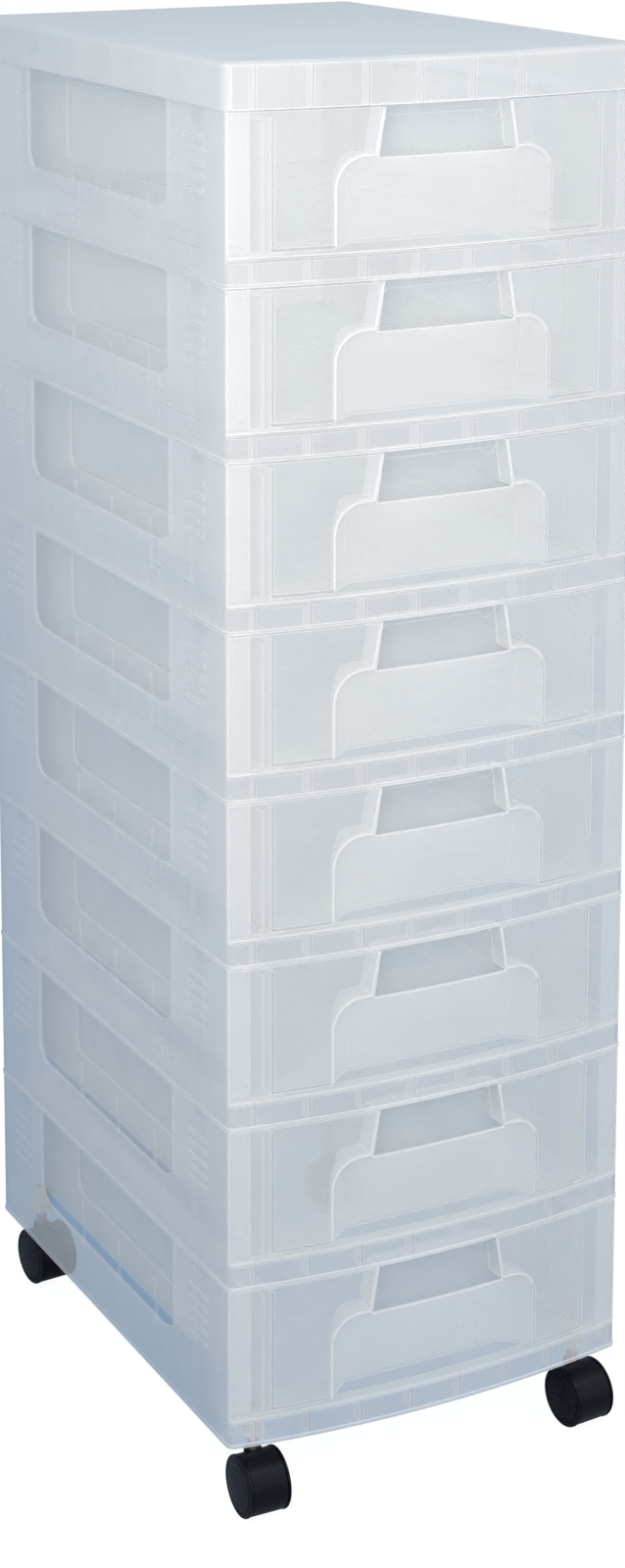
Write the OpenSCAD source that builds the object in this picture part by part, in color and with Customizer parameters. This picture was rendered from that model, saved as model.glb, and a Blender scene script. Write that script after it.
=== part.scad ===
// Drawer tower: pull-out drawers in a stack of interlocking frames, with a lid
// on top and four twin-wheel castors underneath. Frames, drawers and lid are
// thin injection mouldings in translucent polypropylene.
// Millimetres, +Z up, drawers open towards -Y. The origin is on the floor,
// in the middle of the plan.

/* [Tower] */
// Number of tiers in the stack, each a frame with its drawer
tiers = 8; // [1:1:10]
// Width over the side walls
body_w = 300; // [260:5:400]
// Depth along the straight side walls
body_d = 391; // [340:1:480]
// How far the front bulges past the side walls
bow = 13.5; // [8:0.5:22]
// Radius of the two vertical front edges
front_edge_r = 6; // [5.5:0.5:10]
// Radius of the two vertical rear edges
rear_edge_r = 8; // [5:0.5:16]

/* [Frame] */
// Height of one frame, and so of one tier
pitch = 110; // [96:1:180]
// Wall of the side, rear and rail
frame_wall = 2.2; // [1.6:0.1:3]
// Height of the rail under each drawer front
rail_h = 17.5; // [14:0.5:22]
// How far the rail's top web and ribs reach back from its face
rail_depth = 13; // [9:0.5:18]
// Number of upright ribs behind the rail
rail_ribs = 8; // [4:1:12]
// Thickness of the ribs behind walls and rail
rib_t = 1.6; // [1.2:0.1:2.4]
// How far the bead round the foot of a frame stands proud
seam_proud = 0.6; // [0.3:0.1:1]
// Height of the bead round the foot of a frame
seam_h = 2.4; // [1.5:0.1:4]
// Width of the return flange behind each end of the drawer front
flange_w = 16; // [12:0.5:20]
// Thickness of the return flange
flange_t = 2; // [1.5:0.1:3]
// Gap between the drawer front and the flange behind it
flange_gap = 0.5; // [0.3:0.1:1]
// Thickness of the side wall's front edge, beside the drawer front
skin_edge = 1; // [0.8:0.1:1.6]

/* [Runners] */
// Thickness of the runner ledge that the drawer slides on
ledge_t = 2; // [1.5:0.1:3]
// How far the drawer's floor overlaps the ledge
ledge_bearing = 8; // [5:0.5:16]
// Gap between the drawer's box and the guide
guide_gap = 2.2; // [1.5:0.1:4]
// Gap between the top of the guide and the drawer's rim
guide_drop = 1; // [0.6:0.1:3]
// How much longer the guide's rear column is than the wall's
guide_column = 9; // [4:1:16]
// Thickness of the upright guide beside the drawer
guide_t = 2; // [1.5:0.1:3]
// Height of the guide between its two columns
guide_sill = 45; // [38:1:60]
// Radius of the guide's inner corners
guide_r = 10; // [4:1:16]
// Height of the cross ribs between guide and side wall
cross_rib_top = 38; // [26:1:39]
// Spacing of the cross ribs along the side
cross_rib_pitch = 63; // [50:1:70]

/* [Side window] */
// Height of the window's sill above the foot of the frame
window_sill = 40; // [34:1:60]
// Length of the window along the side
window_l = 228; // [200:1:240]
// How far the window's middle lies behind the side's middle
window_back = 4; // [0:1:8]
// Radius of the window's rear corner
window_r = 15; // [6:1:22]
// Length of the slope at the window's front corner
window_slope_l = 15; // [6:1:24]
// Height of the slope at the window's front corner
window_slope_h = 6; // [3:0.5:12]
// Width of the thinned panel in the rear wall
rear_panel_w = 196; // [160:2:230]
// Depth of the thinned panel
rear_panel_t = 1; // [0.5:0.1:1.2]
// Height of the thinned panel's sill
rear_panel_sill = 46; // [30:1:60]

/* [Grip bars] */
// Number of raised bars on each column
bars = 5; // [3:1:7]
// Spacing of the bars
bar_pitch = 8.3; // [6:0.1:9]
// Height of the lowest bar
bar_z = 57; // [46:0.5:58]
// Length of a bar
bar_l = 28; // [20:1:36]
// Width of a bar
bar_w = 2.6; // [1.6:0.1:4]
// How far a bar stands proud
bar_proud = 0.6; // [0.3:0.1:1]

/* [Stacking tabs] */
// Length of a tab along the side
tab_l = 24; // [12:1:30]
// Thickness of a tab
tab_t = 2; // [1.5:0.1:3]
// How far a tab reaches up into the frame or lid above
tab_up = 6; // [3:0.5:10]
// How far a tab's root reaches down its own frame
tab_root = 10; // [6:0.5:16]
// Distance of a tab's middle from the side's middle
tab_y = 150; // [135:1:158]

/* [Drawer] */
// Thickness of the bowed drawer front
plate_t = 2.4; // [1.8:0.1:3]
// Gap between the drawer front and the frame's edges
plate_gap = 0.4; // [0.3:0.1:0.8]
// Gap between the drawer front and the rails above and below
plate_reveal = 0.7; // [0.6:0.1:1.8]
// Width of the drawer's box
box_w = 240.6; // [200:1:244]
// Wall of the drawer's box
box_wall = 2; // [1.4:0.1:2.8]
// Thickness of the drawer's floor
floor_t = 2; // [1.4:0.1:3]
// How far the box stops short of the frame's rear wall
box_short = 7.3; // [5:0.1:20]
// Radius of the box's rear corners
box_r = 8; // [4:0.5:14]
// How far the box's rim lies below the top of the frame
rim_drop = 5.5; // [5:0.5:12]
// Thickness of the rim
rim_t = 2.5; // [1.6:0.1:3]
// How far the rim reaches out at the sides
rim_out = 12.5; // [8:0.5:13]
// How far the rim reaches out at the rear
rim_rear = 4; // [2:0.5:4.5]

/* [Finger pull] */
// Width of the notch in the drawer front, at its bottom
notch_low_w = 100; // [80:1:110]
// Width of the notch in the drawer front, at its top
notch_top_w = 90; // [70:1:100]
// Height of the notch's bottom above the foot of the frame
notch_z = 77.25; // [68:0.25:84]
// Width of the finger pocket behind the front
pocket_w = 156; // [124:1:170]
// Height at which the pocket's rounded shoulders end
pocket_top = 78; // [70:1:84]
// Radius of the pocket's shoulders
pocket_r = 20; // [8:1:26]
// Depth of the pocket at the floor
pocket_deep = 21; // [17:0.5:30]
// Depth of the pocket at the top
pocket_shallow = 15; // [12:0.5:17]
// How much narrower the pocket is at its back, on each side
pocket_draft = 17; // [8:1:26]
// Wall of the pocket
pocket_wall = 1.8; // [1.2:0.1:2.4]
// Height of the rim bar across the pocket's back
pull_bar_h = 8; // [4:0.5:12]
// Extra thickness of the rim bar
pull_bar_t = 1.6; // [1:0.1:3]
// Radius of the rim bar's top corners
pull_bar_r = 6; // [2:0.5:7]

/* [Lid] */
// Height of the lid
lid_h = 30; // [22:1:45]
// Overhang of the lid at the front and sides
lid_over = 1.3; // [0.8:0.1:3]
// Overhang of the lid at the rear
lid_rear = 8; // [3:0.5:12]
// Wall of the lid's skirt
lid_wall = 2.2; // [1.6:0.1:3]
// Thickness of the lid's top
lid_top_t = 2.4; // [1.8:0.1:4]
// Radius of the lid's top edge
lid_edge_r = 5; // [2:0.5:5]
// Length of the lid's ribs, inward from the skirt
lid_rib_l = 9; // [6:0.5:14]

/* [Castors] */
// Radius of a castor wheel
wheel_r = 20.6; // [18:0.2:28]
// Width of a wheel's rim
wheel_w = 1.8; // [1.6:0.1:4]
// How far a wheel's face is domed
wheel_dome = 1.2; // [0.4:0.1:3]
// Rounding of a wheel's rim
wheel_edge_r = 0.8; // [0.3:0.1:0.8]
// Distance of the axle behind the swivel axis
trail = 9; // [7:0.5:10]
// Radius of the axle
axle_r = 3; // [2:0.25:4]
// Wall of the hub and of the bearing round the axle
hub_wall = 2.5; // [1.5:0.1:3]
// Thickness of the web between the wheels
web_t = 3; // [2:0.1:4]
// Half the width of the drum-shaped hood
hood_half = 12.6; // [11:0.1:18]
// How far the hood's radius is less than a wheel's
hood_step = 0.4; // [0.2:0.1:2]
// Wall of the hood
hood_t = 2; // [1.4:0.1:3]
// Rounding of the hood's two edges
hood_edge_r = 0.6; // [0.3:0.1:1.2]
// How far the hood clears the floor
hood_clear = 3; // [2:0.5:6]
// Radius of the shallow groove round a wheel's face
face_groove_r = 17; // [12:0.1:17]
// Length of bare stem between the hood and the socket
stem_bare = 11.3; // [1:0.1:16]
// Wall of the boss that holds the stem
collar_wall = 2; // [1.4:0.1:3]
// Radius of the steel stem
stem_r = 4; // [3:0.25:4.5]
// Length of stem above the underside of the tower
stem_up = 16; // [10:0.5:18]
// Length of stem held in the housing
stem_down = 9; // [5:0.5:11]
// How far the socket reaches past the tip of the stem
socket_over = 1.5; // [0.5:0.5:4]
// Wall of the socket sleeve
socket_wall = 1.5; // [1:0.1:2]
// Thickness of the sleeve's flange
socket_flange_t = 1.2; // [0.8:0.1:2]
// Wall of the socket's boss in the lowest frame
boss_wall = 2.4; // [1.8:0.1:3.5]
// Distance of a swivel axis from the side wall's face
stem_side = 25; // [20:0.5:30]
// Distance of a swivel axis from the ends of the side wall
stem_end = 16; // [13:0.5:30]

/* [Fits] */
// Radial clearance of a turning pin in its bore
turn_fit = 0.06; // [0.02:0.01:0.1]
// Radial clearance of a pressed pin or sleeve in its bore
press_fit = 0.03; // [0.01:0.01:0.05]
// Running clearance between faces that pass each other
run_gap = 0.3; // [0.2:0.05:0.6]

/* [Hidden] */
$fn = 96;
bow_fn = 720;
eps = 0.01;
past = 1;                                   // how far a cutter passes a face

// Plan: the front is one arc of radius bow_r round [0, bow_y]
half_w = body_w/2;
half_d = body_d/2;
bow_r = (half_w*half_w + bow*bow)/(2*bow);
bow_y = bow_r - bow - half_d;
edge_x = half_w - front_edge_r;
edge_y = bow_y - sqrt(pow(bow_r - front_edge_r, 2) - edge_x*edge_x);
plan_shift = (bow + lid_over - lid_rear)/2;

// Heights within one tier
ledge_top = rail_h + plate_reveal + ledge_t + plate_reveal;
floor_z = ledge_top + run_gap;
plate_z0 = rail_h + plate_reveal;
plate_z1 = pitch - plate_reveal - plate_gap;
rim_z1 = pitch - rim_drop;
rim_z0 = rim_z1 - rim_t;
guide_top = rim_z0 - guide_drop;

// Widths
skin_front_x = half_w - skin_edge;
plate_half = skin_front_x - plate_gap;
flange_front = plate_t + flange_gap;        // flange face, behind the bow
flange_x = half_w - flange_w;
bay_w = body_w/rail_ribs;                   // ribs stand in the middle of equal bays
box_half = box_w/2;
guide_x = box_half + guide_gap;
ledge_x = box_half - ledge_bearing;
box_front = -half_d;                        // box walls start inside the plate
box_rear = half_d - frame_wall - box_short;
front_y = -half_d - bow;

// Castor
hood_r = wheel_r - hood_step;
wheel_x0 = hood_half + run_gap;
wheel_x1 = wheel_x0 + wheel_w;
hub_r = axle_r + hub_wall;
socket_r = stem_r + turn_fit + socket_wall;
socket_l = stem_up + socket_over;
boss_r = socket_r + press_fit + boss_wall;
collar_top = wheel_r + hood_r;
base_z = collar_top + stem_bare + socket_flange_t;

// Corner name, side, end, and the castor's heading as it stands
CASTORS = [["fl", -1, -1, -1], ["fr", 1, -1, 5], ["rl", -1, 1, 5], ["rr", 1, 1, 0]];
CASTOR_PIECES = ["socket", "stem", "housing", "axle", "wheel_left", "wheel_right"];

// ---- plan shapes ----------------------------------------------------------

// Disc whose front arc is the bowed front, moved in by t
module bow_disc(t) {
    translate([0, bow_y])
        circle(r = bow_r - t, $fn = bow_fn);
}

// Plan of the body moved in by t, its rear edge moved out by rear
module outline(t, rear) {
    reach = edge_x*(bow_r - t)/(bow_r - front_edge_r);
    rear_x = half_w - rear_edge_r;
    rear_y = half_d - rear_edge_r + rear;
    intersection() {
        bow_disc(t);
        translate([-reach, edge_y - 2*bow])
            square([2*reach, 2*bow + eps]);
    }
    translate([t - half_w, edge_y])
        square([body_w - 2*t, rear_y - edge_y]);
    translate([-rear_x, edge_y])
        square([2*rear_x, rear_y + rear_edge_r - t - edge_y]);
    for (s = [-1, 1]) {
        translate([s*edge_x, edge_y])
            circle(r = front_edge_r - t);
        translate([s*rear_x, rear_y])
            circle(r = rear_edge_r - t);
    }
}

// Wall of the body's plan between two insets
module ring(t0, t1) {
    difference() {
        outline(t0, 0);
        outline(t1, 0);
    }
}

// Everything in front of the bow moved in by t, out to |x| = half
module ahead_of_bow(t, half) {
    difference() {
        translate([-half, front_y - past])
            square([2*half, bow + front_edge_r + past]);
        bow_disc(t);
    }
}

// 2D shape with x along Y and y along Z, standing from x0 to x1
module across(x0, x1) {
    translate([x0, 0, 0])
        rotate([90, 0, 90])
            linear_extrude(height = x1 - x0)
                children();
}

// 2D shape with x along X and y along Z, lying from y0 to y1
module deep(y0, y1) {
    translate([0, y1, 0])
        rotate([90, 0, 0])
            linear_extrude(height = y1 - y0)
                children();
}

// The same on the left and on the right
module both_sides() {
    children();
    mirror([1, 0, 0])
        children();
}

module at_tier(i) {
    translate([0, plan_shift, base_z + (i - 1)*pitch])
        children();
}

// ---- frame ----------------------------------------------------------------

// Window in the side wall: round rear corner, sloped front corner, open top
module window_shape() {
    y0 = window_back - window_l/2;
    y1 = window_back + window_l/2;
    difference() {
        translate([y0, window_sill])
            square([window_l, pitch - window_sill + past]);
        polygon([[y0, window_sill], [y0 + window_slope_l, window_sill],
                 [y0, window_sill + window_slope_h]]);
        difference() {
            translate([y1 - window_r, window_sill])
                square(window_r);
            translate([y1 - window_r, window_sill + window_r])
                circle(r = window_r);
        }
    }
}

// Side wall, rear wall and rail in one ring, with the bead round its foot
module frame_shell() {
    difference() {
        union() {
            linear_extrude(height = pitch)
                ring(0, frame_wall);
            linear_extrude(height = seam_h)
                ring(-seam_proud, frame_wall/2);
        }
        translate([0, 0, rail_h])
            linear_extrude(height = pitch)
                ahead_of_bow(flange_front, skin_front_x);
        across(-body_w, body_w)
            window_shape();
        deep(half_d - rear_panel_t, half_d + past)
            translate([-rear_panel_w/2, rear_panel_sill])
                square([rear_panel_w, pitch]);
    }
}

// Top web and upright ribs behind the rail's face
module rail_back() {
    web_half = half_w - frame_wall/2;
    module strip(half) {
        intersection() {
            outline(frame_wall/2, 0);
            ahead_of_bow(rail_depth, half);
        }
    }
    translate([0, 0, rail_h - frame_wall])
        linear_extrude(height = frame_wall)
            strip(web_half);
    linear_extrude(height = rail_h - frame_wall/2)
        for (k = [0:rail_ribs - 1])
            intersection() {
                strip(web_half);
                translate([(k - (rail_ribs - 1)/2)*bay_w - rib_t/2, front_y])
                    square([rib_t, 2*bow + rail_depth]);
            }
}

// Return flange that the closed drawer front stops against
module return_flange() {
    translate([0, 0, rail_h - frame_wall])
        linear_extrude(height = pitch - rail_h + frame_wall)
            difference() {
                intersection() {
                    outline(0, 0);
                    translate([flange_x, front_y])
                        square([flange_w, edge_y - front_y + flange_t]);
                }
                ahead_of_bow(flange_front, skin_front_x);
                translate([0, bow_y])
                    intersection() {
                        circle(r = bow_r - flange_front - flange_t, $fn = bow_fn);
                        translate([0, -bow_r])
                            square([half_w - frame_wall, bow_r]);
                    }
            }
}

// Ledge under the drawer's edge, out to the side wall
module ledge() {
    translate([0, 0, ledge_top - ledge_t])
        linear_extrude(height = ledge_t)
            difference() {
                intersection() {
                    outline(frame_wall/2, 0);
                    translate([ledge_x, front_y])
                        square([half_w - ledge_x, body_d + bow]);
                }
                ahead_of_bow(flange_front, half_w);
            }
}

// Upright guide beside the drawer: low in the middle, a column at each end
module guide() {
    y0 = -half_d + front_edge_r/2;
    y1 = half_d - frame_wall/2;
    open0 = window_back - window_l/2;
    open1 = window_back + window_l/2 - guide_column;
    across(guide_x, guide_x + guide_t)
        difference() {
            translate([y0, ledge_top - ledge_t])
                square([y1 - y0, guide_top - ledge_top + ledge_t]);
            translate([open0, guide_sill + guide_r])
                square([open1 - open0, pitch]);
            translate([open0 + guide_r, guide_sill])
                square([open1 - open0 - 2*guide_r, pitch]);
            for (y = [open0 + guide_r, open1 - guide_r])
                translate([y, guide_sill + guide_r])
                    circle(r = guide_r);
        }
}

// Cross ribs that tie the guide to the side wall
module cross_ribs() {
    for (k = [-1.5:1:1.5])
        translate([guide_x + guide_t/2, window_back + k*cross_rib_pitch - rib_t/2, seam_h])
            cube([half_w - frame_wall/2 - guide_x - guide_t/2, rib_t, cross_rib_top - seam_h]);
}

// Short raised bars on the two columns of the side wall
module grip_bars() {
    slot = bar_l - bar_w;
    for (end = [-1, 1])
        for (k = [0:bars - 1])
            across(half_w - frame_wall/2, half_w + bar_proud)
                translate([end*tab_y, bar_z + k*bar_pitch]) {
                    translate([-slot/2, -bar_w/2])
                        square([slot, bar_w]);
                    for (s = [-1, 1])
                        translate([s*slot/2, 0])
                            circle(r = bar_w/2, $fn = 24);
                }
}

// Tabs that locate the frame or lid above
module tabs() {
    face = half_w - frame_wall - run_gap;
    for (end = [-1, 1])
        translate([0, end*tab_y - tab_l/2, pitch - tab_root]) {
            translate([face - tab_t, 0, 0])
                cube([tab_t, tab_l, tab_root + tab_up]);
            translate([face - tab_t, 0, 0])
                cube([half_w - frame_wall/2 - face + tab_t, tab_l, tab_root - run_gap]);
        }
}

// Boss for one castor's socket, tied to the walls next to it
module castor_boss(side, end) {
    x = side*(half_w - stem_side);
    y = end*(half_d - stem_end);
    reach_x = stem_side - frame_wall/2;
    reach_y = stem_end - frame_wall/2;
    translate([x, y, 0]) {
        cylinder(r = boss_r, h = ledge_top - ledge_t/2);
        translate([side > 0 ? 0 : -reach_x, -rib_t/2, 0])
            cube([reach_x, rib_t, rail_h]);
        translate([-rib_t/2, end > 0 ? 0 : -reach_y, 0])
            cube([rib_t, reach_y, rail_h]);
    }
}

module frame(i) {
    color([0.80, 0.85, 0.89])
        at_tier(i)
            difference() {
                union() {
                    frame_shell();
                    rail_back();
                    both_sides() {
                        return_flange();
                        ledge();
                        guide();
                        cross_ribs();
                        grip_bars();
                        tabs();
                    }
                    if (i == 1)
                        for (c = CASTORS)
                            castor_boss(c[1], c[2]);
                }
                if (i == 1)
                    for (c = CASTORS)
                        translate([c[1]*(half_w - stem_side), c[2]*(half_d - stem_end), -past])
                            cylinder(r = socket_r + press_fit, h = socket_l + past);
            }
}

// ---- drawer ---------------------------------------------------------------

// Notch in the drawer front, seen from the front, grown by w
module notch_shape(w) {
    low = notch_low_w/2 + w;
    top = notch_top_w/2 + w;
    polygon([[-low, notch_z - w], [low, notch_z - w], [top, pitch + w], [-top, pitch + w]]);
}

// Arched pocket behind the drawer front, seen from the front, grown by w
module arch_shape(w) {
    x = pocket_w/2 - pocket_r;
    z = pocket_top - pocket_r;
    translate([-pocket_w/2 - w, floor_z - past])
        square([pocket_w + 2*w, z - floor_z + past]);
    translate([-x, floor_z - past])
        square([2*x, pocket_top + w - floor_z + past]);
    for (s = [-1, 1])
        translate([s*x, z])
            circle(r = pocket_r + w);
}

// Pocket as a solid grown by w: arch and notch, sloped back, slanted sides
module pocket(w) {
    back_low = front_y + pocket_deep + w;
    back_top = front_y + pocket_shallow + w;
    intersection() {
        deep(front_y - past, back_low + past)
            union() {
                arch_shape(w);
                notch_shape(w);
            }
        across(-half_w, half_w)
            polygon([[front_y - past, floor_z - past], [back_low, floor_z - past],
                     [back_top, pitch], [front_y - past, pitch]]);
        linear_extrude(height = pitch + past)
            polygon([[-pocket_w/2 - w, front_y - past], [pocket_w/2 + w, front_y - past],
                     [pocket_w/2 + w, -half_d - bow/2],
                     [pocket_w/2 - pocket_draft + w, back_low],
                     [w*-1 - pocket_w/2 + pocket_draft, back_low],
                     [-pocket_w/2 - w, -half_d - bow/2]]);
    }
}

// Plan of the box moved in by t, behind the drawer front
module box_outline(t) {
    intersection() {
        bow_disc(plate_t/2 + t/2);
        union() {
            translate([t - box_half, front_y])
                square([box_w - 2*t, box_rear - box_r - front_y]);
            translate([box_r - box_half, front_y])
                square([box_w - 2*box_r, box_rear - t - front_y]);
            for (s = [-1, 1])
                translate([s*(box_half - box_r), box_rear - box_r])
                    circle(r = box_r - t);
        }
    }
}

// Rim flange round the top of the box
module rim() {
    y0 = -half_d + rail_depth;
    translate([0, 0, rim_z0])
        linear_extrude(height = rim_t)
            difference() {
                translate([-box_half - rim_out, y0])
                    square([box_w + 2*rim_out, box_rear + rim_rear - y0]);
                box_outline(box_wall/2);
            }
}

// Bar along the top of the pocket's back wall, where the fingers pull
module pull_bar() {
    half = notch_top_w/2 + pocket_wall;
    back = front_y + pocket_shallow;
    top = plate_z1 + plate_gap;
    deep(back + eps, back + pocket_wall + pull_bar_t)
        union() {
            translate([-half, top - pull_bar_h])
                square([2*half, pull_bar_h - pull_bar_r]);
            translate([pull_bar_r - half, top - pull_bar_h])
                square([2*half - 2*pull_bar_r, pull_bar_h]);
            for (s = [-1, 1])
                translate([s*(half - pull_bar_r), top - pull_bar_r])
                    circle(r = pull_bar_r);
        }
}

module drawer(i) {
    color([0.86, 0.89, 0.91])
        at_tier(i)
            difference() {
                union() {
                    translate([0, 0, plate_z0])
                        linear_extrude(height = plate_z1 - plate_z0)
                            intersection() {
                                outline(0, 0);
                                ahead_of_bow(plate_t, plate_half);
                            }
                    difference() {
                        translate([0, 0, floor_z])
                            linear_extrude(height = rim_z1 - floor_z)
                                box_outline(0);
                        translate([0, 0, floor_z + floor_t])
                            linear_extrude(height = pitch)
                                intersection() {
                                    box_outline(box_wall);
                                    bow_disc(plate_t);
                                }
                    }
                    rim();
                    intersection() {
                        pocket(pocket_wall);
                        translate([0, 0, floor_z])
                            linear_extrude(height = plate_z1 - floor_z)
                                bow_disc(plate_t/2);
                    }
                    pull_bar();
                }
                intersection() {
                    pocket(0);
                    union() {
                        linear_extrude(height = pitch + past)
                            bow_disc(plate_t);
                        deep(front_y - past, 0)
                            notch_shape(0);
                    }
                }
            }
}

// ---- lid ------------------------------------------------------------------

// Plan of the lid moved in by t
module lid_outline(t) {
    outline(t - lid_over, lid_rear - lid_over);
}

module lid() {
    edge_steps = 5;
    inside_h = lid_h - lid_top_t;
    seat_y = half_d - 1.5*rib_t - rear_edge_r;
    color([0.80, 0.84, 0.88])
        at_tier(tiers + 1) {
            difference() {
                hull() {
                    linear_extrude(height = eps)
                        lid_outline(0, $fn = 48);
                    for (k = [0:edge_steps]) {
                        a = 90*k/edge_steps;
                        translate([0, 0, lid_h - lid_edge_r*(1 - sin(a)) - eps])
                            linear_extrude(height = eps)
                                lid_outline(lid_edge_r*(1 - cos(a)), $fn = 48);
                    }
                }
                translate([0, 0, -past])
                    linear_extrude(height = inside_h + past)
                        lid_outline(lid_wall);
            }
            // ribs behind the front skirt, in line with the rails' ribs
            linear_extrude(height = inside_h + eps)
                for (k = [0:rail_ribs - 1])
                    intersection() {
                        lid_outline(lid_wall/2);
                        ahead_of_bow(lid_rib_l, half_w);
                        translate([(k - (rail_ribs - 1)/2)*bay_w - rib_t/2, front_y - past])
                            square([rib_t, 2*bow + lid_rib_l]);
                    }
            // ribs inside the sides; the outer ones sit on the top frame's columns
            both_sides()
                for (y = concat([-seat_y, seat_y],
                                [for (k = [-1.5:1:1.5]) window_back + k*cross_rib_pitch]))
                    translate([half_w - lid_rib_l, y - rib_t/2, 0])
                        cube([lid_rib_l + lid_over - lid_wall/2, rib_t, inside_h + eps]);
            // ribs inside the rear skirt, which sit on the top frame's rear wall
            for (k = [-1.5:1:1.5])
                translate([2*k*bay_w - rib_t/2, half_d - lid_rib_l, 0])
                    cube([rib_t, lid_rib_l + lid_rear - lid_wall/2, inside_h + eps]);
        }
}

// ---- castors --------------------------------------------------------------

// Frame of one castor: its swivel axis is Z, its wheels trail towards -Y
module at_castor(c) {
    translate([c[1]*(half_w - stem_side), plan_shift + c[2]*(half_d - stem_end), 0])
        rotate([0, 0, c[3]])
            children();
}

// Frame of the axle, which lies along X
module at_axle(c) {
    at_castor(c)
        translate([0, -trail, wheel_r])
            children();
}

// Cylinder along X from x0 to x1
module rod(r, x0, x1) {
    translate([x0, 0, 0])
        rotate([0, 90, 0])
            cylinder(r = r, h = x1 - x0);
}

// Sleeve pressed into the lowest frame, in which the stem turns
module castor_socket(c) {
    color([0.86, 0.87, 0.86])
        at_castor(c)
            translate([0, 0, base_z])
                difference() {
                    union() {
                        cylinder(r = socket_r, h = socket_l);
                        translate([0, 0, -socket_flange_t])
                            cylinder(r = boss_r, h = socket_flange_t);
                    }
                    translate([0, 0, -socket_flange_t - past])
                        cylinder(r = stem_r + turn_fit, h = socket_flange_t + socket_l + 2*past);
                }
}

// Steel stem, with a groove near its tip
module castor_stem(c) {
    groove = 0.6;
    bottom = collar_top - stem_down;
    top = base_z + stem_up;
    color([0.70, 0.71, 0.73])
        at_castor(c)
            difference() {
                translate([0, 0, bottom])
                    cylinder(r = stem_r, h = top - bottom);
                translate([0, 0, top - 3*groove])
                    rotate_extrude()
                        translate([stem_r + groove/3, 0])
                            circle(r = groove, $fn = 24);
            }
}

// Half of the hood's section, from the middle out to its rounded edge
module hood_section() {
    e = hood_edge_r;
    translate([hood_r - hood_t, -eps])
        square([hood_t, hood_half - e + eps]);
    translate([hood_r - hood_t, -eps])
        square([hood_t - e, hood_half + eps]);
    translate([hood_r - e, hood_half - e])
        circle(r = e, $fn = 32);
}

// Drum-shaped hood round the wheels' hubs, open at the foot, with the web in its middle
module hood() {
    difference() {
        union() {
            for (s = [0, 1])
                mirror([s, 0, 0])
                    rotate([0, 90, 0])
                        rotate_extrude()
                            hood_section();
            rod(hood_r - hood_t/2, -web_t/2, web_t/2);
        }
        translate([-hood_half - past, -hood_r, -wheel_r - past])
            cube([2*hood_half + 2*past, 2*hood_r, hood_clear + past]);
    }
    rod(hub_r, -web_t, web_t);
}

// Housing: hood, web, bearing for the axle and the boss for the stem
module castor_housing(c) {
    floor_h = collar_wall;
    color([0.07, 0.07, 0.08])
        difference() {
            union() {
                at_axle(c)
                    hood();
                at_castor(c)
                    translate([0, 0, collar_top - stem_down - floor_h])
                        cylinder(r = stem_r + collar_wall, h = stem_down + floor_h);
            }
            at_axle(c)
                rod(axle_r + turn_fit, -web_t - past, web_t + past);
            at_castor(c)
                translate([0, 0, collar_top - stem_down])
                    cylinder(r = stem_r + press_fit, h = stem_down + past);
        }
}

// Steel axle, pressed into both wheels
module castor_axle(c) {
    color([0.70, 0.71, 0.73])
        at_axle(c)
            rod(axle_r, -wheel_x0, wheel_x0);
}

// Half section of a wheel: rim with a rounded edge, domed face with a groove, hub
module wheel_section() {
    e = wheel_edge_r;
    groove = 0.6;
    dome_r = (wheel_r*wheel_r + wheel_dome*wheel_dome)/(2*wheel_dome);
    difference() {
        union() {
            translate([0, wheel_x0])
                square([wheel_r, wheel_w - e]);
            translate([0, wheel_x0])
                square([wheel_r - e, wheel_w]);
            translate([wheel_r - e, wheel_x1 - e])
                circle(r = e, $fn = 32);
            translate([0, web_t + run_gap])
                square([hub_r, wheel_x1 - web_t - run_gap]);
            intersection() {
                translate([0, wheel_x1 + wheel_dome - dome_r])
                    circle(r = dome_r, $fn = 360);
                translate([0, wheel_x1 - eps])
                    square([wheel_r - 2*e, wheel_dome + eps]);
            }
        }
        translate([face_groove_r, wheel_x1 + wheel_dome/3])
            circle(r = groove, $fn = 32);
    }
}

// One wheel of the pair
module castor_wheel(c, side) {
    color([0.06, 0.06, 0.07])
        at_axle(c)
            mirror([side > 0 ? 0 : 1, 0, 0])
                difference() {
                    rotate([0, 90, 0])
                        rotate_extrude()
                            wheel_section();
                    rod(axle_r + press_fit, 0, wheel_x0);
                }
}

// ---- nodes ----------------------------------------------------------------

for (i = [1:tiers])
    frame(i);
for (i = [1:tiers])
    drawer(i);
lid();
for (c = CASTORS) {
    castor_socket(c);
    castor_stem(c);
    castor_housing(c);
    castor_axle(c);
    castor_wheel(c, -1);
    castor_wheel(c, 1);
}
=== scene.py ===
import math

import bpy
from mathutils import Matrix, Vector


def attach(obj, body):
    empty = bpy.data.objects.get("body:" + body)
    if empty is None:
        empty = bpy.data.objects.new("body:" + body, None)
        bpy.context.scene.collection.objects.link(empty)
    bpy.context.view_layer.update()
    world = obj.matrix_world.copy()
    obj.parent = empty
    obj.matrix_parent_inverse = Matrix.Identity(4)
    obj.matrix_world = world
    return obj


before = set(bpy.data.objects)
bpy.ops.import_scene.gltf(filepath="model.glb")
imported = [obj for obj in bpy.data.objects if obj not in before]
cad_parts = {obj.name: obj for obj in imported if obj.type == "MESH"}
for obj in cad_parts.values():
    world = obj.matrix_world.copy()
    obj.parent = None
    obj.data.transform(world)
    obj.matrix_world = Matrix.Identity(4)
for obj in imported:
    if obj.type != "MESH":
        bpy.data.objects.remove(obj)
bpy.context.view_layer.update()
bpy.ops.object.select_all(action="DESELECT")

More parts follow.
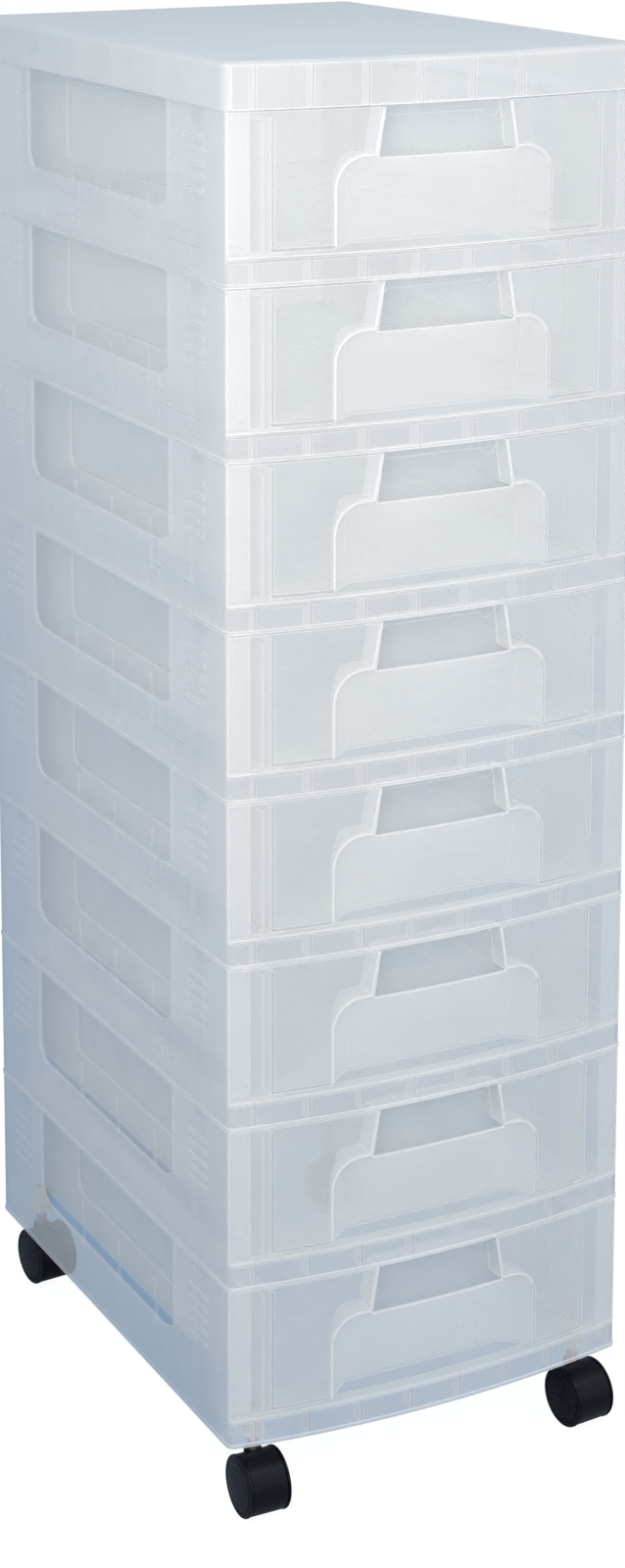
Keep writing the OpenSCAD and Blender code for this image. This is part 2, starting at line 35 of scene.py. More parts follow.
# ---------------------------------------------------------------------------------------
# Studio. A pale floor in a room that is brightest in front of the tower, a warm soft box at the
# left front and a weaker one high at the right front. With these and with painted shade in the
# room and floor seen through the plastic, the tower grows darker and bluer towards its foot and
# back.
# ---------------------------------------------------------------------------------------
scene = bpy.context.scene
scene.view_settings.view_transform = "Standard"
scene.view_settings.look = "None"
scene.cycles.transparent_max_bounces = 64
scene.cycles.max_bounces = 14
scene.cycles.diffuse_bounces = 7

# The camera stands in front of the tower, to its left, and looks slightly down on it. The
# length of its lens and the column that its middle falls on are in pixels of the image.
IMAGE_W, IMAGE_H = 638, 1600
SENSOR_MM = 36.0
FOCAL_PX = 3146.0
CENTRE_X_PX = 278.86
CAMERA_AT = Vector((-0.97437, -1.86305, 1.13998))
AZIMUTH, ELEVATION = math.radians(27.1408), math.radians(-9.5088)
SHIFT_Y = -0.32
CLIP_NEAR, CLIP_FAR = 0.05, 50

camera_data = bpy.data.cameras.new("camera")
camera_data.sensor_fit = "VERTICAL"
camera_data.sensor_height = SENSOR_MM
camera_data.sensor_width = SENSOR_MM
camera_data.lens = FOCAL_PX * SENSOR_MM / IMAGE_H
camera_data.shift_x = (IMAGE_W / 2 - CENTRE_X_PX) / IMAGE_H
camera_data.shift_y = SHIFT_Y
camera_data.clip_start = CLIP_NEAR
camera_data.clip_end = CLIP_FAR
camera = bpy.data.objects.new("camera", camera_data)
scene.collection.objects.link(camera)
look = Vector((math.sin(AZIMUTH) * math.cos(ELEVATION), math.cos(AZIMUTH) * math.cos(ELEVATION),
               math.sin(ELEVATION)))
camera.location = CAMERA_AT
camera.rotation_euler = look.to_track_quat("-Z", "Y").to_euler()
scene.camera = camera


def soft_box(name, at, target, width, height, spread, watts, tint):
    """An area light that points at target; spread is how wide its light fans out."""
    lamp = bpy.data.lights.new(name, "AREA")
    lamp.shape = "RECTANGLE"
    lamp.size, lamp.size_y = width, height
    lamp.spread = math.radians(spread)
    lamp.energy = watts
    lamp.color = tint
    lamp_object = bpy.data.objects.new(name, lamp)
    scene.collection.objects.link(lamp_object)
    lamp_object.location = at
    lamp_object.rotation_euler = (Vector(target) - Vector(at)).to_track_quat("-Z", "Y").to_euler()
    lamp_object.visible_camera = False


soft_box("key_softbox", at=(-0.70, -0.82, 1.00), target=(-0.09, -0.17, 0.78),
         width=0.6, height=0.9, spread=112, watts=3.85, tint=(1.0, 0.925, 0.85))
soft_box("top_softbox", at=(0.75, -0.90, 1.55), target=(0.05, -0.10, 0.85),
         width=0.7, height=0.7, spread=180, watts=3.5, tint=(1.0, 0.96, 0.92))


def rescale(tree, low, high, to_low=0.0, to_high=1.0):
    """A Map Range node that takes low to to_low and high to to_high, and goes no further."""
    node = tree.nodes.new("ShaderNodeMapRange")
    node.inputs["From Min"].default_value = low
    node.inputs["From Max"].default_value = high
    node.inputs["To Min"].default_value = to_low
    node.inputs["To Max"].default_value = to_high
    return node


# The room is white where the camera sees it bare, and painted grey-blue where it is seen through
# the plastic, a painted shade that darkens the tower. What lights the tower is brightest in front
# and cooler behind and to the sides.
BARE_WHITE = (1, 1, 1, 1)
# painted shade: the grey-blue that the room shows through the plastic
THROUGH_PAINTED_SHADE = (0.50, 0.56, 0.61, 1)
BRIGHTEST_TOWARDS = (0.10, -0.93, 0.35)
LIGHT_BEHIND = (0.10, 0.18, 0.28, 1)
LIGHT_ASIDE = (0.235, 0.30, 0.37, 1)
LIGHT_IN_FRONT = (0.97, 0.965, 0.97, 1)
LIGHT_STRENGTH = 1.30

world = bpy.data.worlds.new("studio")
scene.world = world
world.use_nodes = True
tree = world.node_tree
tree.nodes.clear()
sky_out = tree.nodes.new("ShaderNodeOutputWorld")
seen = tree.nodes.new("ShaderNodeBackground")
seen.inputs["Color"].default_value = BARE_WHITE
through = tree.nodes.new("ShaderNodeBackground")
through.inputs["Color"].default_value = THROUGH_PAINTED_SHADE
lit = tree.nodes.new("ShaderNodeBackground")
lit.inputs["Strength"].default_value = LIGHT_STRENGTH
place = tree.nodes.new("ShaderNodeTexCoord")
towards_front = tree.nodes.new("ShaderNodeVectorMath")
towards_front.operation = "DOT_PRODUCT"
towards_front.inputs[1].default_value = BRIGHTEST_TOWARDS
facing = rescale(tree, -1, 1)
ramp = tree.nodes.new("ShaderNodeValToRGB")
ramp.color_ramp.elements[0].position = 0.0
ramp.color_ramp.elements[0].color = LIGHT_BEHIND
ramp.color_ramp.elements[1].position = 1.0
ramp.color_ramp.elements[1].color = LIGHT_IN_FRONT
middle = ramp.color_ramp.elements.new(0.5)
middle.color = LIGHT_ASIDE
rays = tree.nodes.new("ShaderNodeLightPath")
behind = tree.nodes.new("ShaderNodeMixShader")
mix = tree.nodes.new("ShaderNodeMixShader")
tree.links.new(rays.outputs["Transparent Depth"], behind.inputs["Fac"])
tree.links.new(seen.outputs[0], behind.inputs[1])
tree.links.new(through.outputs[0], behind.inputs[2])
tree.links.new(place.outputs["Generated"], towards_front.inputs[0])
tree.links.new(towards_front.outputs["Value"], facing.inputs["Value"])
tree.links.new(facing.outputs["Result"], ramp.inputs["Fac"])
tree.links.new(ramp.outputs["Color"], lit.inputs["Color"])
tree.links.new(rays.outputs["Is Camera Ray"], mix.inputs["Fac"])
tree.links.new(lit.outputs[0], mix.inputs[1])
tree.links.new(behind.outputs[0], mix.inputs[2])
tree.links.new(mix.outputs[0], sky_out.inputs["Surface"])

# Floor: one large pale sheet under the castors, white to the camera where it is bare, with a
# trace of the tower's real shadow. Where it is seen through the plastic it is painted dark blue
# near the tower, a painted shade at the tower's foot, and fades to the room's painted shade.
FLOOR_SIDE = 12.0
FLOOR_DROP = 0.0005
FLOOR_MATT = (0.38, 0.45, 0.54, 1)
FLOOR_GLOW = 1.22
SHADOW_SHARE = 0.22
# painted shade: the dark blue that the floor shows through the plastic near the tower
FLOOR_PAINTED_SHADE = (0.20, 0.30, 0.43, 1)
BLUE_UNTIL, FADED_FROM = 0.2, 4.5
COLOUR_A, COLOUR_B, COLOUR_RESULT = 6, 7, 2     # where a Mix node keeps its colour sockets

bpy.ops.mesh.primitive_plane_add(size=FLOOR_SIDE, location=(0, 0, -FLOOR_DROP))
floor = bpy.context.object
floor.name = "studio_floor"
floor_paint = bpy.data.materials.new("floor_paint")
floor_paint.use_nodes = True
tree = floor_paint.node_tree
tree.nodes.clear()
floor_out = tree.nodes.new("ShaderNodeOutputMaterial")
matt = tree.nodes.new("ShaderNodeBsdfDiffuse")
matt.inputs["Color"].default_value = FLOOR_MATT
white = tree.nodes.new("ShaderNodeEmission")
white.inputs["Strength"].default_value = FLOOR_GLOW
# painted shade: the floor as it is seen through the plastic
painted_floor_shade = tree.nodes.new("ShaderNodeEmission")
on_floor = tree.nodes.new("ShaderNodeTexCoord")
from_tower = tree.nodes.new("ShaderNodeVectorMath")
from_tower.operation = "LENGTH"
fading = rescale(tree, BLUE_UNTIL, FADED_FROM)
floor_tone = tree.nodes.new("ShaderNodeMix")
floor_tone.data_type = "RGBA"
floor_tone.inputs[COLOUR_A].default_value = FLOOR_PAINTED_SHADE
floor_tone.inputs[COLOUR_B].default_value = THROUGH_PAINTED_SHADE
rays = tree.nodes.new("ShaderNodeLightPath")
shadow = tree.nodes.new("ShaderNodeMixShader")
shadow.inputs["Fac"].default_value = SHADOW_SHARE
veiled = tree.nodes.new("ShaderNodeMixShader")
viewed = tree.nodes.new("ShaderNodeMixShader")
tree.links.new(on_floor.outputs["Object"], from_tower.inputs[0])
tree.links.new(from_tower.outputs["Value"], fading.inputs["Value"])
tree.links.new(fading.outputs["Result"], floor_tone.inputs["Factor"])
tree.links.new(floor_tone.outputs[COLOUR_RESULT], painted_floor_shade.inputs["Color"])
tree.links.new(white.outputs[0], shadow.inputs[1])
tree.links.new(matt.outputs[0], shadow.inputs[2])
tree.links.new(rays.outputs["Transparent Depth"], veiled.inputs["Fac"])
tree.links.new(shadow.outputs[0], veiled.inputs[1])
tree.links.new(painted_floor_shade.outputs[0], veiled.inputs[2])
tree.links.new(rays.outputs["Is Camera Ray"], viewed.inputs["Fac"])
tree.links.new(matt.outputs[0], viewed.inputs[1])
tree.links.new(veiled.outputs[0], viewed.inputs[2])
tree.links.new(viewed.outputs[0], floor_out.inputs["Surface"])
floor.data.materials.append(floor_paint)

# ---------------------------------------------------------------------------------------
# Casing: eight stacked frames of natural polypropylene, each one moulding with a ribbed front
# rail, two side windows and a shallow panel in its back. They click together at the tabs.
# ---------------------------------------------------------------------------------------
# An edge is where a normal rounded over EDGE_R parts from the true one; there the resin is more
# opaque and its colour is whitened with a painted highlight. The two values are the cosines at
# which this starts and is full.
EDGE_R = 0.0017
EDGE_SAMPLES = 6
EDGE_STARTS, EDGE_FULL = 0.985, 0.86
# Forward of these places a moulding thickens into its front. Further back an edge keeps only
# REAR_EDGE of its extra opacity and painted highlight.
FRONT_STARTS_Y, FRONT_FULL_Y = -0.150, -0.185
REAR_EDGE = 0.26
# The runner ribs stand between the drawer's box and the casing, this far from the middle.
RUNNER_X, RUNNER_HALF = 0.1363, 0.0108
# Cloudiness drifts between these shares of the haze.
CLOUD_SCALE, CLOUD_DETAIL = 16, 3
CLOUD_THIN, CLOUD_THICK = 0.75, 1.25
# A fine satin from the mould.
SATIN_SCALE, SATIN_DETAIL = 900, 2
SATIN_ROUGHNESS = 0.12
SATIN_STRENGTH, SATIN_DEPTH = 0.08, 0.0002
VALUE_A, VALUE_B = 2, 3     # where a Mix node keeps its plain values


def maths(tree, operation, first=None, second=None, third=None):
    """A Math node, with the given values set on its inputs."""
    node = tree.nodes.new("ShaderNodeMath")
    node.operation = operation
    for socket, value in zip(node.inputs, (first, second, third)):
        if value is not None:
            socket.default_value = value
    return node


def product(tree, one, other):
    """The output of a Math node that multiplies two outputs."""
    node = maths(tree, "MULTIPLY")
    tree.links.new(one, node.inputs[0])
    tree.links.new(other, node.inputs[1])
    return node.outputs[0]


def moulded_skin():
    """The group that all the clear mouldings share: a haze that drifts through the resin, edges
    that are more opaque and whitened with a painted highlight, and a faint satin on the surface."""
    group = bpy.data.node_groups.new("moulded_skin", "ShaderNodeTree")
    face = group.interface
    for label in ("Tint", "Edge Tint"):
        face.new_socket(label, in_out="INPUT", socket_type="NodeSocketColor")
    for label in ("Haze", "Edge Haze", "Front", "Runner", "Gloss"):
        face.new_socket(label, in_out="INPUT", socket_type="NodeSocketFloat")
    face.new_socket("Colour", in_out="OUTPUT", socket_type="NodeSocketColor")
    face.new_socket("Opacity", in_out="OUTPUT", socket_type="NodeSocketFloat")
    face.new_socket("Roughness", in_out="OUTPUT", socket_type="NodeSocketFloat")
    face.new_socket("Normal", in_out="OUTPUT", socket_type="NodeSocketVector")
    add, wire = group.nodes.new, group.links.new
    taken, given = add("NodeGroupInput"), add("NodeGroupOutput")
    coordinates = add("ShaderNodeTexCoord")

    # the front is thicker, so its haze is Front times as strong, and its edges keep their full
    # extra opacity and painted highlight
    place = add("ShaderNodeSeparateXYZ")
    forward = rescale(group, FRONT_STARTS_Y, FRONT_FULL_Y)
    forward_edge = rescale(group, 0, 1, to_low=REAR_EDGE)
    forward_haze = rescale(group, 0, 1, to_low=1)
    wire(coordinates.outputs["Object"], place.inputs[0])
    wire(place.outputs["Y"], forward.inputs["Value"])
    wire(forward.outputs["Result"], forward_edge.inputs["Value"])
    wire(forward.outputs["Result"], forward_haze.inputs["Value"])
    wire(taken.outputs["Front"], forward_haze.inputs["To Max"])

    # the runner ribs behind the front are thin, so they are Runner times as hazy
    aside = maths(group, "ABSOLUTE")
    runner = maths(group, "COMPARE", second=RUNNER_X, third=RUNNER_HALF)
    behind_front = maths(group, "SUBTRACT", first=1.0)
    solid = rescale(group, 0, 1, to_low=1)
    wire(place.outputs["X"], aside.inputs[0])
    wire(aside.outputs[0], runner.inputs[0])
    wire(forward.outputs["Result"], behind_front.inputs[1])
    wire(product(group, runner.outputs[0], behind_front.outputs[0]), solid.inputs["Value"])
    wire(taken.outputs["Runner"], solid.inputs["To Max"])

    # edges: more opaque, and whitened with a painted highlight
    rounded, true = add("ShaderNodeBevel"), add("ShaderNodeNewGeometry")
    rounded.samples = EDGE_SAMPLES
    rounded.inputs["Radius"].default_value = EDGE_R
    apart = add("ShaderNodeVectorMath")
    apart.operation = "DOT_PRODUCT"
    edge = rescale(group, EDGE_STARTS, EDGE_FULL)
    wire(rounded.outputs["Normal"], apart.inputs[0])
    wire(true.outputs["Normal"], apart.inputs[1])
    wire(apart.outputs["Value"], edge.inputs["Value"])
    white_edge = product(group, edge.outputs["Result"], forward_edge.outputs["Result"])
    whiter = product(group, white_edge, solid.outputs["Result"])

    # haze, with the cloudiness that drifts through the resin
    cloud = add("ShaderNodeTexNoise")
    cloud.inputs["Scale"].default_value = CLOUD_SCALE
    cloud.inputs["Detail"].default_value = CLOUD_DETAIL
    drift = rescale(group, 0, 1, CLOUD_THIN, CLOUD_THICK)
    wire(coordinates.outputs["Object"], cloud.inputs["Vector"])
    wire(cloud.outputs["Fac"], drift.inputs["Value"])
    clouded = product(group, taken.outputs["Haze"], drift.outputs["Result"])
    walled = product(group, clouded, forward_haze.outputs["Result"])
    hazy = product(group, walled, solid.outputs["Result"])
    opacity = add("ShaderNodeMix")
    wire(whiter, opacity.inputs["Factor"])
    wire(hazy, opacity.inputs[VALUE_A])
    wire(taken.outputs["Edge Haze"], opacity.inputs[VALUE_B])

    # painted highlight: at the edges the colour moves to the whiter edge tint
    colour = add("ShaderNodeMix")
    colour.data_type = "RGBA"
    wire(whiter, colour.inputs["Factor"])
    wire(taken.outputs["Tint"], colour.inputs[COLOUR_A])
    wire(taken.outputs["Edge Tint"], colour.inputs[COLOUR_B])

    # satin from the mould
    grain = add("ShaderNodeTexNoise")
    grain.inputs["Scale"].default_value = SATIN_SCALE
    grain.inputs["Detail"].default_value = SATIN_DETAIL
    rough = maths(group, "MULTIPLY_ADD", second=SATIN_ROUGHNESS)
    bump = add("ShaderNodeBump")
    bump.inputs["Strength"].default_value = SATIN_STRENGTH
    bump.inputs["Distance"].default_value = SATIN_DEPTH
    wire(coordinates.outputs["Object"], grain.inputs["Vector"])
    wire(grain.outputs["Fac"], rough.inputs[0])
    wire(taken.outputs["Gloss"], rough.inputs[2])
    wire(grain.outputs["Fac"], bump.inputs["Height"])

    wire(colour.outputs[COLOUR_RESULT], given.inputs["Colour"])
    wire(opacity.outputs[0], given.inputs["Opacity"])
    wire(rough.outputs[0], given.inputs["Roughness"])
    wire(bump.outputs["Normal"], given.inputs["Normal"])
    return group


moulded = moulded_skin()

POLYPROPYLENE_IOR = 1.49
EDGE_ON = 1.08      # just over one, so that a wall seen edge-on isn't endlessly thick


def clear_plastic(name, tint, edge_highlight_tint, haze, edge_haze, gloss, front=1.0, runner=1.0):
    """Translucent polypropylene: a wall seen at a slant is longer to look through, so it is
    more opaque. The haze is front times as strong in the thick front, and runner times in the
    ribs beside the drawer. The edge tint whitens the edges as a painted highlight."""
    material = bpy.data.materials.new(name)
    material.use_nodes = True
    tree = material.node_tree
    add, wire = tree.nodes.new, tree.links.new
    shader = tree.nodes["Principled BSDF"]
    shader.inputs["IOR"].default_value = POLYPROPYLENE_IOR
    skin = add("ShaderNodeGroup")
    skin.node_tree = moulded
    for label, value in (("Tint", tint), ("Edge Tint", edge_highlight_tint), ("Haze", haze),
                         ("Edge Haze", edge_haze), ("Front", front), ("Runner", runner),
                         ("Gloss", gloss)):
        skin.inputs[label].default_value = value
    slant = add("ShaderNodeLayerWeight")
    slant.inputs["Blend"].default_value = 0.5
    upright = maths(tree, "SUBTRACT", first=EDGE_ON)    # the cosine of the slant, kept off zero
    path = maths(tree, "DIVIDE", first=EDGE_ON)         # how much longer the way through is
    clear = maths(tree, "SUBTRACT", first=1.0)
    passed = maths(tree, "POWER")
    opaque = maths(tree, "SUBTRACT", first=1.0)
    wire(slant.outputs["Facing"], upright.inputs[1])
    wire(upright.outputs[0], path.inputs[1])
    wire(skin.outputs["Opacity"], clear.inputs[1])
    wire(clear.outputs[0], passed.inputs[0])
    wire(path.outputs[0], passed.inputs[1])
    wire(passed.outputs[0], opaque.inputs[1])
    wire(skin.outputs["Colour"], shader.inputs["Base Color"])
    wire(skin.outputs["Roughness"], shader.inputs["Roughness"])
    wire(skin.outputs["Normal"], shader.inputs["Normal"])
    wire(opaque.outputs[0], shader.inputs["Alpha"])
    return material


def finish_node(node, material):
    """Puts a material on a CAD node in place of its plain one."""
    node.data.materials.clear()
    node.data.materials.append(material)


# the edge tint is the painted highlight on the casing's edges
frame_plastic = clear_plastic("frame_polypropylene", tint=(0.86, 0.87, 0.87, 1),
                              edge_highlight_tint=(0.94, 0.95, 0.955, 1), haze=0.14, edge_haze=0.42,
                              gloss=0.40, front=1.5, runner=0.1)
for name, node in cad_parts.items():
    if name.startswith("frame_"):
        finish_node(node, frame_plastic)

# ---------------------------------------------------------------------------------------
# Drawers: one moulding each, a little whiter than the casing. The bowed front carries the
# finger notch and the keyhole pocket behind it; the box hangs on the frame's ledges.
# ---------------------------------------------------------------------------------------
# the edge tint is the painted highlight on the drawer's edges
drawer_plastic = clear_plastic("drawer_polypropylene", tint=(0.87, 0.885, 0.88, 1),
                               edge_highlight_tint=(0.96, 0.965, 0.965, 1), haze=0.155, edge_haze=0.48,
                               gloss=0.38, front=1.3)
for name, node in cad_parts.items():
    if name.startswith("drawer_"):
        finish_node(node, drawer_plastic)

# The resin is thickest, and so whitest, in the seams where the pocket's walls run into the
# front: up the keyhole, round its shoulders and along the notch. The casing's middle lies
# PLAN_SHIFT behind the origin. The front is an arc that reaches BOW_FRONT forward of it.
TIERS = 8
TIER_PITCH = 0.110
TIER_1_Z = 0.0533
PLAN_SHIFT = 0.0034
BOW_RADIUS = 0.84008
BOW_FRONT = 0.209
BOW_CENTRE_Y = PLAN_SHIFT + BOW_RADIUS - BOW_FRONT
SEAM_R = 0.0011
SEAM_BEHIND_FACE = 0.0012
SEAM_FOOT_Z = 0.0235
SHOULDER_X, SHOULDER_Z, SHOULDER_R = 0.058, 0.058, 0.0208
SHOULDER_STEPS = 10
RIGHT_SHOULDER_POINTS = 8
NOTCH_LOW_X, NOTCH_LOW_Z = 0.0512, 0.0788
NOTCH_TOP_X, NOTCH_TOP_Z = 0.0462, 0.1075
SAME_POINT = 0.00001
SMOOTH_UNDER = math.radians(50)

# the edge tint is the painted highlight on the seams' edges
thick_resin = clear_plastic("thick_resin", tint=(0.92, 0.93, 0.93, 1),
                            edge_highlight_tint=(0.97, 0.97, 0.97, 1), haze=0.38, edge_haze=0.55, gloss=0.36)


def seam_piece(name, route, body):
    """A round seam inside the drawer front, along a route of (x, z) in the lowest tier."""
    bpy.ops.curve.primitive_nurbs_path_add(radius=0.01, location=(0, 0, 0))
    seam = bpy.context.object
    seam.name = name
    line = seam.data
    line.splines.clear()
    run = line.splines.new("POLY")
    run.points.add(len(route) - 1)
    for point, (x, z) in zip(run.points, route):
        y = BOW_CENTRE_Y - math.sqrt(BOW_RADIUS ** 2 - x * x) + SEAM_BEHIND_FACE
        point.co = (x, y, TIER_1_Z + z, 1)
    line.dimensions = "3D"
    line.bevel_depth = SEAM_R
    line.bevel_resolution = 2
    line.use_fill_caps = True
    bpy.ops.object.convert(target="MESH")
    bpy.ops.object.transform_apply()
    bpy.ops.object.mode_set(mode="EDIT")
    bpy.ops.mesh.select_all(action="SELECT")
    bpy.ops.mesh.remove_doubles(threshold=SAME_POINT)
    bpy.ops.mesh.normals_make_consistent(inside=False)
    bpy.ops.object.mode_set(mode="OBJECT")
    bpy.ops.object.shade_smooth_by_angle(angle=SMOOTH_UNDER)
    seam.data.materials.clear()
    seam.data.materials.append(thick_resin)
    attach(seam, body)
    seam.select_set(False)
    return seam


def copy_up(piece, name, tiers_up, body):
    """The same moulding tiers higher, with its own mesh and the place in the mesh."""
    twin = piece.copy()
    twin.data = piece.data.copy()
    twin.name = name
    scene.collection.objects.link(twin)
    twin.data.transform(Matrix.Translation((0, 0, tiers_up * TIER_PITCH)))
    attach(twin, body)


# The left seam runs from the foot of the keyhole to the top of the notch, and the right one
# from the top of the notch part of the way round the shoulder.
shoulder = [(SHOULDER_X + SHOULDER_R * math.cos(a), SHOULDER_Z + SHOULDER_R * math.sin(a))
            for a in [math.radians(90 / SHOULDER_STEPS * k) for k in range(SHOULDER_STEPS + 1)]]
keyhole_left = ([(-SHOULDER_X - SHOULDER_R, SEAM_FOOT_Z)] + [(-x, z) for x, z in shoulder] +
                [(-NOTCH_LOW_X, NOTCH_LOW_Z), (-NOTCH_TOP_X, NOTCH_TOP_Z)])
keyhole_right = ([(NOTCH_TOP_X, NOTCH_TOP_Z), (NOTCH_LOW_X, NOTCH_LOW_Z)] +
                 shoulder[::-1][:RIGHT_SHOULDER_POINTS])
left_seam = seam_piece("drawer_1_seam_left", keyhole_left, "drawer_1")
right_seam = seam_piece("drawer_1_seam_right", keyhole_right, "drawer_1")
for tier in range(2, TIERS + 1):
    body = "drawer_%d" % tier
    copy_up(left_seam, body + "_seam_left", tier - 1, body)
    copy_up(right_seam, body + "_seam_right", tier - 1, body)

# The floor is stiffened by a honeycomb of low ribs, which shows through the front. Its cells
# are counted from CELLS_FROM_X, CELLS_FROM_Y and trimmed just inside the box's walls.
CELL_ACROSS = 0.046
CELL_R = CELL_ACROSS / math.sqrt(3)
CELL_ROW = 1.5 * CELL_R
CELLS_FROM_X, CELLS_FROM_Y = -0.0035, PLAN_SHIFT - 0.154
FLOOR_UP = 0.0232
FLOOR_TOP_Z = TIER_1_Z + FLOOR_UP
HONEYCOMB_X, HONEYCOMB_FRONT, HONEYCOMB_BACK = 0.1175, PLAN_SHIFT - 0.184, PLAN_SHIFT + 0.1835
RIB_THICK, RIB_HIGH = 0.0014, 0.0008
SAME_CORNER = 0.0002

# the edge tint is the painted highlight on the ribs' edges
thin_resin = clear_plastic("thin_resin", tint=(0.98, 0.985, 0.99, 1),
                           edge_highlight_tint=(0.99, 0.99, 0.99, 1), haze=0.04, edge_haze=0.07, gloss=0.40)
bpy.ops.object.select_all(action="DESELECT")
cells = []
for row in range(-1, 10):
    for column in range(-3, 4):
        x = CELLS_FROM_X + (column + 0.5 * (row % 2)) * CELL_ACROSS
        y = CELLS_FROM_Y + row * CELL_ROW
        within_sides = abs(x) < HONEYCOMB_X + CELL_R
        within_ends = HONEYCOMB_FRONT - CELL_R < y < HONEYCOMB_BACK + CELL_R
        if within_sides and within_ends:
            bpy.ops.mesh.primitive_circle_add(vertices=6, radius=CELL_R, fill_type="NGON",
                                              location=(x, y, FLOOR_TOP_Z))
            cells.append(bpy.context.object)
for cell in cells:
    cell.select_set(True)
bpy.context.view_layer.objects.active = cells[0]
bpy.ops.object.join()
honeycomb = bpy.context.object
honeycomb.name = "drawer_1_floor_ribs"
bpy.ops.object.transform_apply()
bpy.ops.object.mode_set(mode="EDIT")
bpy.ops.mesh.select_all(action="SELECT")
bpy.ops.mesh.remove_doubles(threshold=SAME_CORNER)
for edge_at, facing_out in (((-HONEYCOMB_X, 0, 0), (-1, 0, 0)), ((HONEYCOMB_X, 0, 0), (1, 0, 0)),
                            ((0, HONEYCOMB_FRONT, 0), (0, -1, 0)),
                            ((0, HONEYCOMB_BACK, 0), (0, 1, 0))):
    bpy.ops.mesh.select_all(action="SELECT")
    bpy.ops.mesh.bisect(plane_co=edge_at, plane_no=facing_out, clear_outer=True, clear_inner=False)
bpy.ops.mesh.select_all(action="SELECT")
bpy.ops.mesh.normals_make_consistent(inside=False)
bpy.ops.mesh.inset(thickness=RIB_THICK / 2, use_individual=True)
bpy.ops.mesh.delete(type="FACE")
bpy.ops.object.mode_set(mode="OBJECT")
raised = honeycomb.modifiers.new("raised", "SOLIDIFY")
raised.thickness = RIB_HIGH
raised.offset = 1 if honeycomb.data.polygons[0].normal.z > 0 else -1
bpy.ops.object.modifier_apply(modifier="raised")
bpy.ops.object.mode_set(mode="EDIT")
bpy.ops.mesh.select_all(action="SELECT")
bpy.ops.mesh.normals_make_consistent(inside=False)
bpy.ops.object.mode_set(mode="OBJECT")
honeycomb.data.materials.clear()
honeycomb.data.materials.append(thin_resin)
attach(honeycomb, "drawer_1")
for tier in range(2, TIERS + 1):
    body = "drawer_%d" % tier
    copy_up(honeycomb, body + "_floor_ribs", tier - 1, body)
bpy.ops.object.select_all(action="DESELECT")

# ---------------------------------------------------------------------------------------
# Lid: one moulding of the same resin, a flat top with a ribbed skirt, cloudier than the casing.
# It presses down over the tabs of the top frame.
# ---------------------------------------------------------------------------------------
# the edge tint is the painted highlight on the lid's edges
lid_plastic = clear_plastic("lid_polypropylene", tint=(0.85, 0.865, 0.865, 1),
                            edge_highlight_tint=(0.97, 0.97, 0.97, 1), haze=0.24, edge_haze=0.55, gloss=0.42)
finish_node(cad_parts["lid"], lid_plastic)

# ---------------------------------------------------------------------------------------
# Castors: black nylon twin wheels under a hood, on a plated steel stem that is pushed into a
# socket of natural nylon in the lowest frame.
# ---------------------------------------------------------------------------------------
NYLON_BLACK = (0.004, 0.004, 0.006, 1)
NYLON_SHEEN = (0.78, 0.85, 1.0, 1)
NYLON_IOR = 1.53
GRAIN_ROUGHNESS = 0.16
GRAIN_STRENGTH, GRAIN_DEPTH = 0.06, 0.0002
ZINC_GREY = (0.55, 0.56, 0.58, 1)
DRAWN_SCALE, DRAWN_LENGTHWAYS = 1500, 0.05
DRAWN_ROUGHNESS, ZINC_GLOSS = 0.2, 0.25


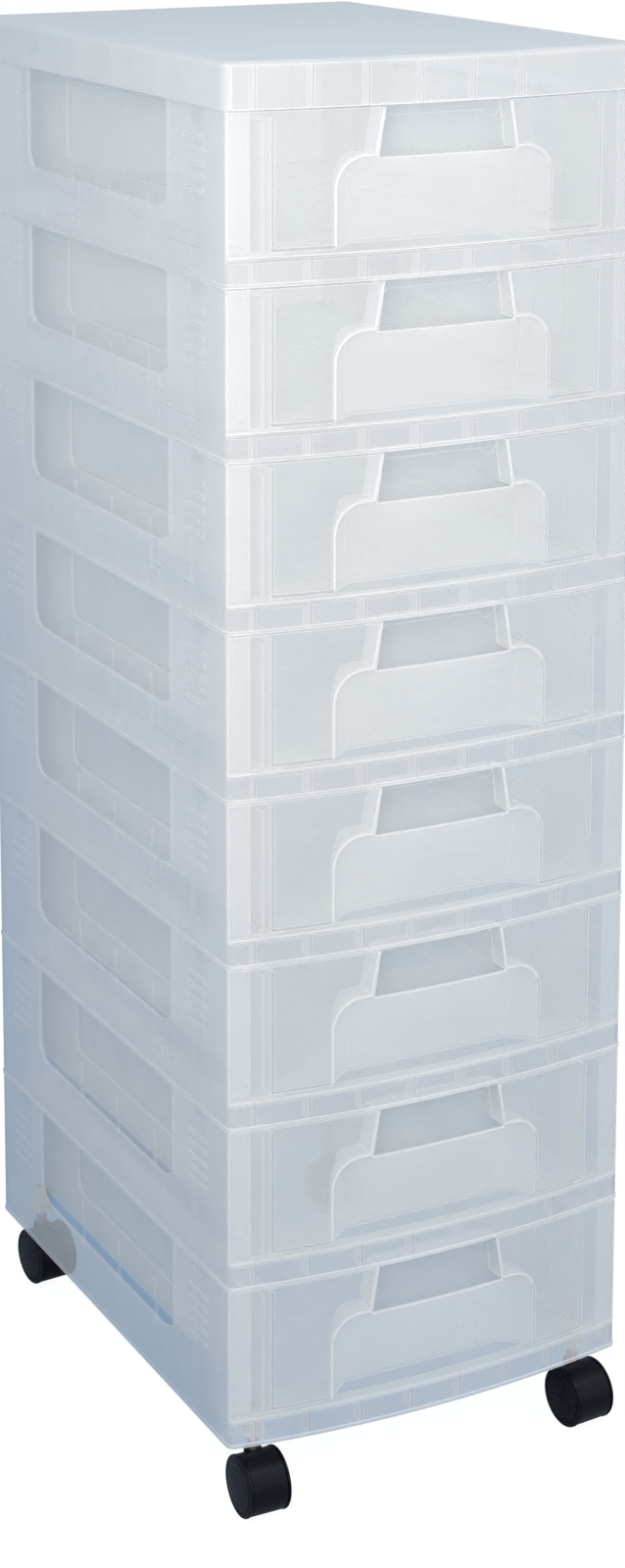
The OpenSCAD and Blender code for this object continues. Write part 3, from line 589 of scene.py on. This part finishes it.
def black_nylon(name, gloss, grain_size):
    """Injection-moulded nylon with a fine eroded grain."""
    material = bpy.data.materials.new(name)
    material.use_nodes = True
    tree = material.node_tree
    add, wire = tree.nodes.new, tree.links.new
    shader = tree.nodes["Principled BSDF"]
    shader.inputs["Base Color"].default_value = NYLON_BLACK
    shader.inputs["IOR"].default_value = NYLON_IOR
    shader.inputs["Specular IOR Level"].default_value = 0.16
    shader.inputs["Specular Tint"].default_value = NYLON_SHEEN
    coordinates = add("ShaderNodeTexCoord")
    grain = add("ShaderNodeTexNoise")
    grain.inputs["Scale"].default_value = grain_size
    grain.inputs["Detail"].default_value = 3
    rough = maths(tree, "MULTIPLY_ADD", second=GRAIN_ROUGHNESS, third=gloss)
    bump = add("ShaderNodeBump")
    bump.inputs["Strength"].default_value = GRAIN_STRENGTH
    bump.inputs["Distance"].default_value = GRAIN_DEPTH
    wire(coordinates.outputs["Object"], grain.inputs["Vector"])
    wire(grain.outputs["Fac"], rough.inputs[0])
    wire(grain.outputs["Fac"], bump.inputs["Height"])
    wire(rough.outputs[0], shader.inputs["Roughness"])
    wire(bump.outputs["Normal"], shader.inputs["Normal"])
    return material


def plated_steel():
    """Bright zinc over steel, drawn along the pin."""
    material = bpy.data.materials.new("zinc_plated_steel")
    material.use_nodes = True
    tree = material.node_tree
    add, wire = tree.nodes.new, tree.links.new
    shader = tree.nodes["Principled BSDF"]
    shader.inputs["Base Color"].default_value = ZINC_GREY
    shader.inputs["Metallic"].default_value = 1.0
    coordinates = add("ShaderNodeTexCoord")
    drawn = add("ShaderNodeMapping")
    drawn.inputs["Scale"].default_value = (1, 1, DRAWN_LENGTHWAYS)
    lines = add("ShaderNodeTexNoise")
    lines.inputs["Scale"].default_value = DRAWN_SCALE
    rough = maths(tree, "MULTIPLY_ADD", second=DRAWN_ROUGHNESS, third=ZINC_GLOSS)
    wire(coordinates.outputs["Object"], drawn.inputs["Vector"])
    wire(drawn.outputs["Vector"], lines.inputs["Vector"])
    wire(lines.outputs["Fac"], rough.inputs[0])
    wire(rough.outputs[0], shader.inputs["Roughness"])
    return material


# the edge tint is the painted highlight on the socket's edges
natural_nylon = clear_plastic("natural_nylon", tint=(0.82, 0.83, 0.80, 1),
                              edge_highlight_tint=(0.95, 0.95, 0.93, 1), haze=0.45, edge_haze=0.80,
                              gloss=0.34)
hood_nylon = black_nylon("castor_nylon", gloss=0.28, grain_size=700)
wheel_nylon = black_nylon("wheel_nylon", gloss=0.20, grain_size=500)
steel = plated_steel()
for name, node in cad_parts.items():
    if name.startswith("castor_"):
        if name.endswith(("_stem", "_axle")):
            finish_node(node, steel)
        elif "_wheel_" in name:
            finish_node(node, wheel_nylon)
        elif name.endswith("_socket"):
            finish_node(node, natural_nylon)
        else:
            finish_node(node, hood_nylon)
